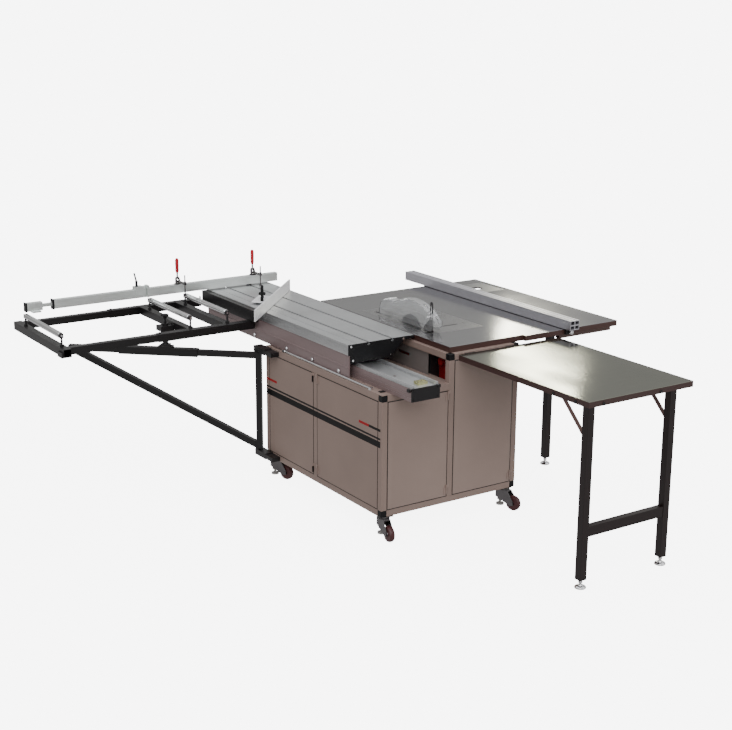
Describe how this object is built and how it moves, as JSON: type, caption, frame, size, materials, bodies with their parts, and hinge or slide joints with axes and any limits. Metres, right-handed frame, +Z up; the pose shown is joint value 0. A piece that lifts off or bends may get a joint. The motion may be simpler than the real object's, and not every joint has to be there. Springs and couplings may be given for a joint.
{
  "type": "panel saw",
  "caption": "Sliding-table saw on a wheeled cabinet, with outrigger, crosscut fence, mitre gauge, rip fence, blade guard and rear support table.",
  "frame": {"origin": "on the floor, under the centre of the overall box", "axes": "+Y along the cut towards the operator's end, +X across towards the wide table, +Z up"},
  "size_m": [2.416, 2.6894, 1.04],
  "materials": {
    "frame_paint": "satin",
    "black_metal": "satin",
    "black_plastic": "matte",
    "steel": "brushed",
    "bright_steel": "polished",
    "alloy": "satin",
    "board_edge": "satin",
    "maroon": "matte",
    "red_paint": "gloss",
    "red_grip": "gloss",
    "clear": "clear",
    "dark_steel": "satin",
    "rose_paint": "satin"
  },
  "bodies": {
    "base": {"cabinet_frame": "frame_paint", "frame_corners": "black_plastic", "cabinet_panels": "frame_paint", "castor_plates": "bright_steel", "main_table": "steel", "extension_table": "steel", "table_inserts": "steel", "support_table": "steel", "support_fittings": "bright_steel", "table_legs": "black_metal", "levelling_feet": "bright_steel", "guide_beam": "alloy", "beam_tracks": "alloy", "beam_fittings": "black_metal", "push_rod": "bright_steel", "saw_column": "dark_steel", "swing_blocks": "black_metal"},
    "carriage": {"carriage_deck": "alloy", "carriage_ends": "black_metal", "carriage_skirt": "rose_paint", "carriage_bolts": "bright_steel", "outrigger_frame": "black_metal", "outrigger_stands": "dark_steel"},
    "outrigger_slide": {"outrigger_slide": "black_metal"},
    "roller_1": {"roller_1": "bright_steel"},
    "roller_2": {"roller_2": "bright_steel"},
    "roller_3": {"roller_3": "bright_steel"},
    "swing_arm": {"swing_arm": "black_metal"},
    "swing_sleeve": {"swing_sleeve": "black_metal"},
    "cross_fence": {"cross_fence": "alloy", "toggle_bases": "bright_steel"},
    "fence_extension": {"fence_extension": "alloy"},
    "flip_stop_body": {"flip_stop_body": "alloy"},
    "flip_stop_arm": {"flip_stop_arm": "alloy"},
    "toggle_arm_a": {"toggle_arm_a": "bright_steel"},
    "toggle_arm_b": {"toggle_arm_b": "bright_steel"},
    "toggle_handle_a": {"toggle_handle_a": "red_grip"},
    "toggle_handle_b": {"toggle_handle_b": "red_grip"},
    "mitre_base": {"mitre_base": "dark_steel"},
    "mitre_fence": {"mitre_fence": "alloy"},
    "rip_fence": {"rip_fence": "alloy"},
    "saw_unit": {"saw_plate": "red_paint", "saw_motor": "dark_steel", "riving_knife": "dark_steel"},
    "main_blade": {"main_blade": "steel"},
    "score_blade": {"score_blade": "steel"},
    "guard_bolt": {"guard_bolt": "bright_steel"},
    "blade_guard": {"blade_guard": "clear"},
    "door_rear_low": {"door_rear_low": "frame_paint"},
    "door_rear_tall": {"door_rear_tall": "frame_paint"},
    "door_side_a": {"door_side_a": "frame_paint"},
    "door_side_b": {"door_side_b": "frame_paint"},
    "fork_1": {"fork_1": "bright_steel"},
    "wheel_1": {"wheel_1": "maroon"},
    "fork_2": {"fork_2": "bright_steel"},
    "wheel_2": {"wheel_2": "maroon"},
    "fork_3": {"fork_3": "bright_steel"},
    "wheel_3": {"wheel_3": "maroon"},
    "fork_4": {"fork_4": "bright_steel"},
    "wheel_4": {"wheel_4": "maroon"}
  },
  "joints": [
    {"name": "carriage_slide", "type": "slide", "parent": "base", "child": "carriage", "axis": [0, 1, 0], "range_m": [-0.75, 0.2]},
    {"name": "outrigger_extend", "type": "slide", "parent": "carriage", "child": "outrigger_slide", "axis": [-1, 0, 0], "range_m": [-0.2, 0.2]},
    {"name": "roller_1_spin", "type": "hinge", "parent": "carriage", "child": "roller_1", "pos_m": [-0.305, 0.989, 0.836], "axis": [0, 1, 0], "continuous": true},
    {"name": "roller_2_spin", "type": "hinge", "parent": "carriage", "child": "roller_2", "pos_m": [-0.51, 0.989, 0.836], "axis": [0, 1, 0], "continuous": true},
    {"name": "roller_3_spin", "type": "hinge", "parent": "outrigger_slide", "child": "roller_3", "pos_m": [-1.18, 0.989, 0.836], "axis": [0, 1, 0], "continuous": true},
    {"name": "arm_swing", "type": "hinge", "parent": "base", "child": "swing_arm", "pos_m": [-0.208, 0.611, 0.4], "axis": [0, 0, 1], "range_deg": [-45, 95]},
    {"name": "sleeve_slide", "type": "slide", "parent": "swing_arm", "child": "swing_sleeve", "axis": [-0.749, 0.6626, 0], "range_m": [-0.28, 0.17]},
    {"name": "fence_angle", "type": "hinge", "parent": "carriage", "child": "cross_fence", "pos_m": [0.076, 1.219, 0.85], "axis": [0, 0, 1], "range_deg": [-45, 0]},
    {"name": "fence_extend", "type": "slide", "parent": "cross_fence", "child": "fence_extension", "axis": [-1, 0, 0], "range_m": [-0.05, 0.2]},
    {"name": "stop_slide", "type": "slide", "parent": "cross_fence", "child": "flip_stop_body", "axis": [1, 0, 0], "range_m": [-0.4, 0.15]},
    {"name": "stop_flip", "type": "hinge", "parent": "flip_stop_body", "child": "flip_stop_arm", "pos_m": [-0.53, 1.219, 0.913], "axis": [1, 0, 0], "range_deg": [-120, 0]},
    {"name": "toggle_a_lever", "type": "hinge", "parent": "cross_fence", "child": "toggle_handle_a", "pos_m": [-0.348, 1.222, 0.932], "axis": [1, 0, 0], "range_deg": [-60, 0]},
    {"name": "toggle_a_press", "type": "hinge", "parent": "cross_fence", "child": "toggle_arm_a", "pos_m": [-0.348, 1.212, 0.918], "axis": [1, 0, 0], "range_deg": [-90, 0]},
    {"name": "toggle_b_lever", "type": "hinge", "parent": "cross_fence", "child": "toggle_handle_b", "pos_m": [0.1, 1.222, 0.932], "axis": [1, 0, 0], "range_deg": [-60, 0]},
    {"name": "toggle_b_press", "type": "hinge", "parent": "cross_fence", "child": "toggle_arm_b", "pos_m": [0.1, 1.212, 0.918], "axis": [1, 0, 0], "range_deg": [-90, 0]},
    {"name": "mitre_slide", "type": "slide", "parent": "carriage", "child": "mitre_base", "axis": [0, 1, 0], "range_m": [-0.5, 0.03]},
    {"name": "mitre_angle", "type": "hinge", "parent": "mitre_base", "child": "mitre_fence", "pos_m": [-0.055, 0.839, 0.858], "axis": [0, 0, 1], "range_deg": [-46, 40]},
    {"name": "rip_slide", "type": "slide", "parent": "base", "child": "rip_fence", "axis": [1, 0, 0], "range_m": [-0.23, 0.28]},
    {"name": "saw_lift", "type": "slide", "parent": "base", "child": "saw_unit", "axis": [0, 0, 1], "range_m": [-0.025, 0.006]},
    {"name": "blade_spin", "type": "hinge", "parent": "saw_unit", "child": "main_blade", "pos_m": [0.308, 0.019, 0.805], "axis": [1, 0, 0], "continuous": true},
    {"name": "score_spin", "type": "hinge", "parent": "saw_unit", "child": "score_blade", "pos_m": [0.308, 0.261, 0.798], "axis": [1, 0, 0], "continuous": true},
    {"name": "guard_height", "type": "slide", "parent": "saw_unit", "child": "guard_bolt", "axis": [0, 0, 1], "range_m": [-0.006, 0.025]},
    {"name": "guard_tip", "type": "hinge", "parent": "guard_bolt", "child": "blade_guard", "pos_m": [0.308, -0.14, 0.92], "axis": [1, 0, 0], "range_deg": [0, 60]},
    {"name": "door_rear_low_swing", "type": "hinge", "parent": "base", "child": "door_rear_low", "pos_m": [0.1812, -0.4548, 0.398], "axis": [0, 0, 1], "range_deg": [0, 110]},
    {"name": "door_rear_tall_swing", "type": "hinge", "parent": "base", "child": "door_rear_tall", "pos_m": [0.5552, -0.4548, 0.46], "axis": [0, 0, 1], "range_deg": [0, 110]},
    {"name": "door_side_a_swing", "type": "hinge", "parent": "base", "child": "door_side_a", "pos_m": [-0.1838, 0.0952, 0.398], "axis": [0, 0, 1], "range_deg": [-110, 0]},
    {"name": "door_side_b_swing", "type": "hinge", "parent": "base", "child": "door_side_b", "pos_m": [-0.1838, 0.1348, 0.398], "axis": [0, 0, 1], "range_deg": [0, 110]},
    {"name": "swivel_1", "type": "hinge", "parent": "base", "child": "fork_1", "pos_m": [-0.144, -0.421, 0.096], "axis": [0, 0, 1], "continuous": true},
    {"name": "wheel_1_spin", "type": "hinge", "parent": "fork_1", "child": "wheel_1", "pos_m": [-0.15058, -0.4746, 0.0375], "axis": [0.9925, -0.1219, 0], "continuous": true},
    {"name": "swivel_2", "type": "hinge", "parent": "base", "child": "fork_2", "pos_m": [0.554, -0.421, 0.096], "axis": [0, 0, 1], "continuous": true},
    {"name": "wheel_2_spin", "type": "hinge", "parent": "fork_2", "child": "wheel_2", "pos_m": [0.57069, -0.47236, 0.0375], "axis": [0.9511, 0.309, 0], "continuous": true},
    {"name": "swivel_3", "type": "hinge", "parent": "base", "child": "fork_3", "pos_m": [-0.144, 0.535, 0.096], "axis": [0, 0, 1], "continuous": true},
    {"name": "wheel_3_spin", "type": "hinge", "parent": "fork_3", "child": "wheel_3", "pos_m": [-0.12465, 0.48459, 0.0375], "axis": [0.9336, 0.3584, 0], "continuous": true},
    {"name": "swivel_4", "type": "hinge", "parent": "base", "child": "fork_4", "pos_m": [0.554, 0.535, 0.096], "axis": [0, 0, 1], "continuous": true},
    {"name": "wheel_4_spin", "type": "hinge", "parent": "fork_4", "child": "wheel_4", "pos_m": [0.56338, 0.48182, 0.0375], "axis": [0.9848, 0.1736, 0], "continuous": true}
  ],
  "couplings": [
    {"joint": "toggle_a_press", "follows": "toggle_a_lever", "ratio": 1.5},
    {"joint": "toggle_b_press", "follows": "toggle_b_lever", "ratio": 1.5},
    {"joint": "score_spin", "follows": "blade_spin", "ratio": -1.5},
    {"joint": "guard_height", "follows": "saw_lift", "ratio": -1}
  ]
}
